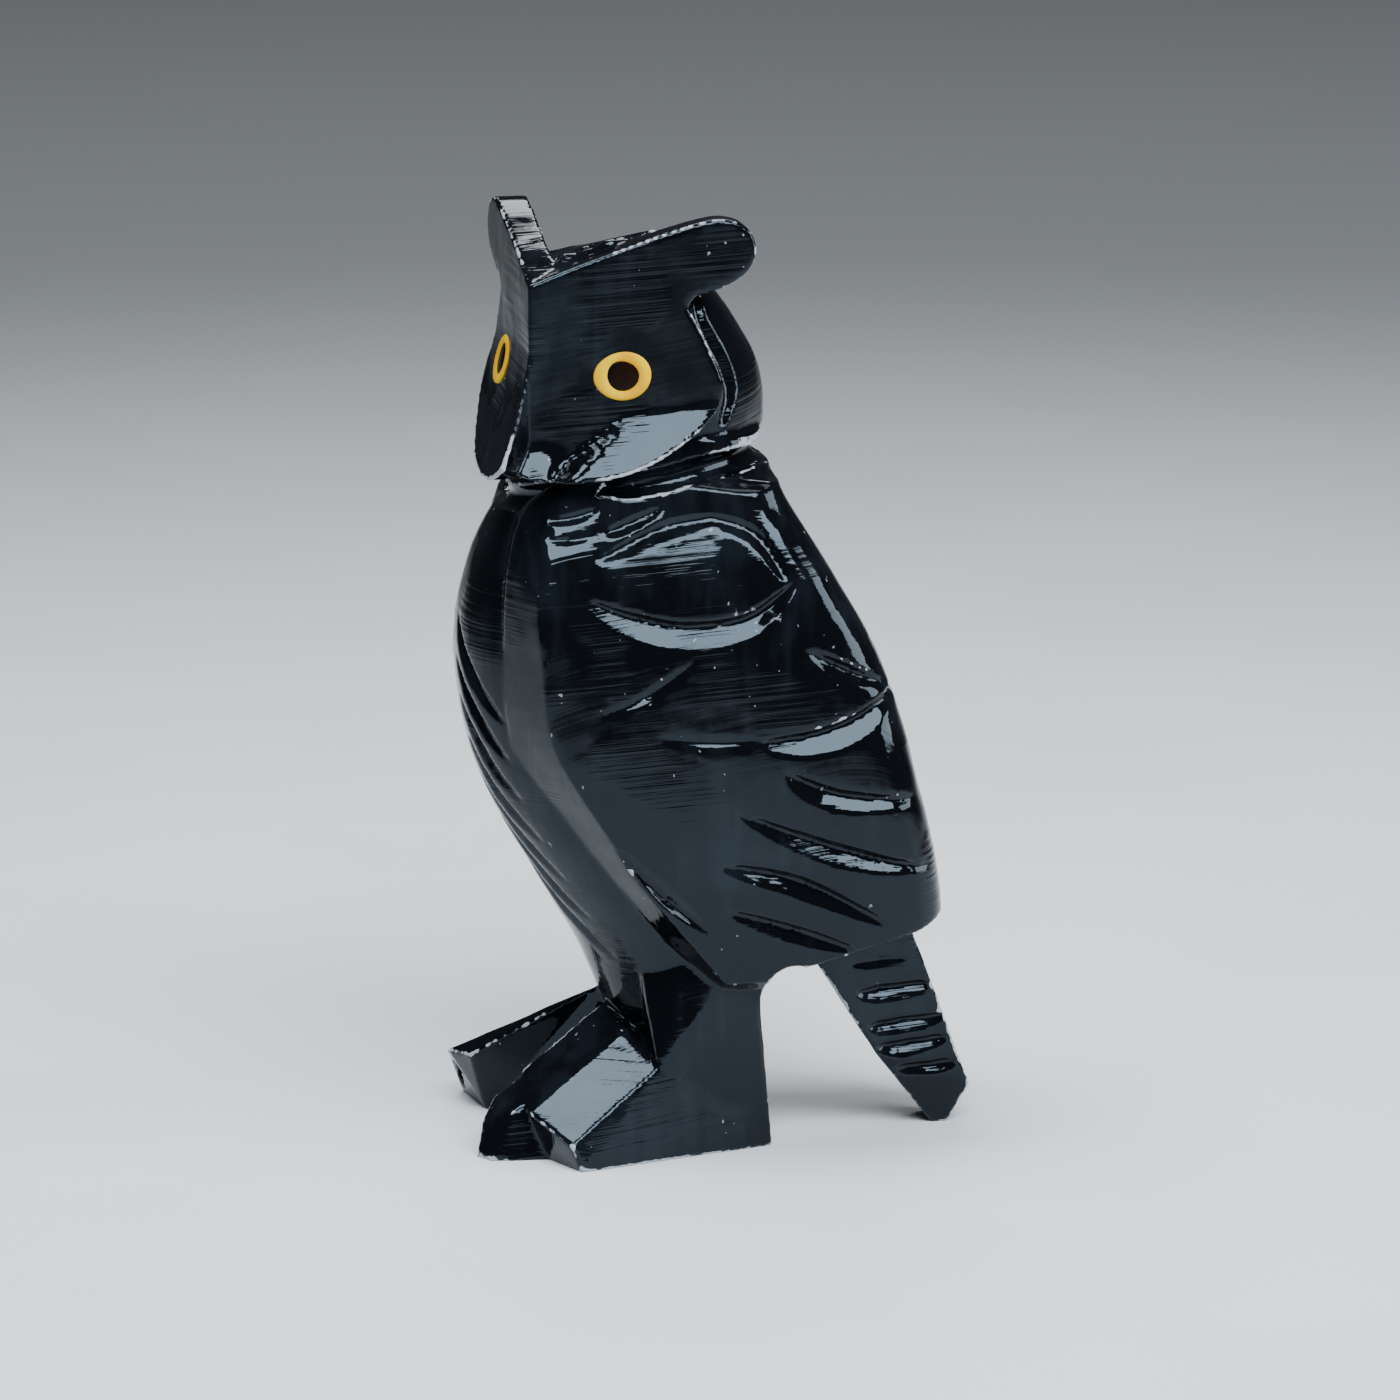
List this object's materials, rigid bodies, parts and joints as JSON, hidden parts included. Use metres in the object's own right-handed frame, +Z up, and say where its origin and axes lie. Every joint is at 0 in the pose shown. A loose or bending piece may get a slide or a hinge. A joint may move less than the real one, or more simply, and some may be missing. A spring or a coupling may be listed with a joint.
{
  "type": "carved stone owl figurine",
  "caption": "Small polished black stone owl, carved in one piece, standing on its feet and tail tip, with painted ring eyes and its head turned to its left.",
  "frame": {"origin": "under the middle of the owl's bounding box, on the surface it stands on", "axes": "+Z up, -Y the way the breast faces, +X the owl's left side, which the head is turned towards"},
  "size_m": [0.0184, 0.0274, 0.0498],
  "materials": {
    "black_stone": "polished to a wet gloss, with fine wheel marks and pale chips on sharp edges",
    "yellow_paint": "hand-painted enamel, slightly raised",
    "dark_paint": "hand-painted brown-black enamel"
  },
  "bodies": {
    "root": {"stone_body": "black_stone", "eye_ring_left": "yellow_paint", "eye_ring_right": "yellow_paint", "pupil_left": "dark_paint", "pupil_right": "dark_paint"}
  },
  "joints": []
}
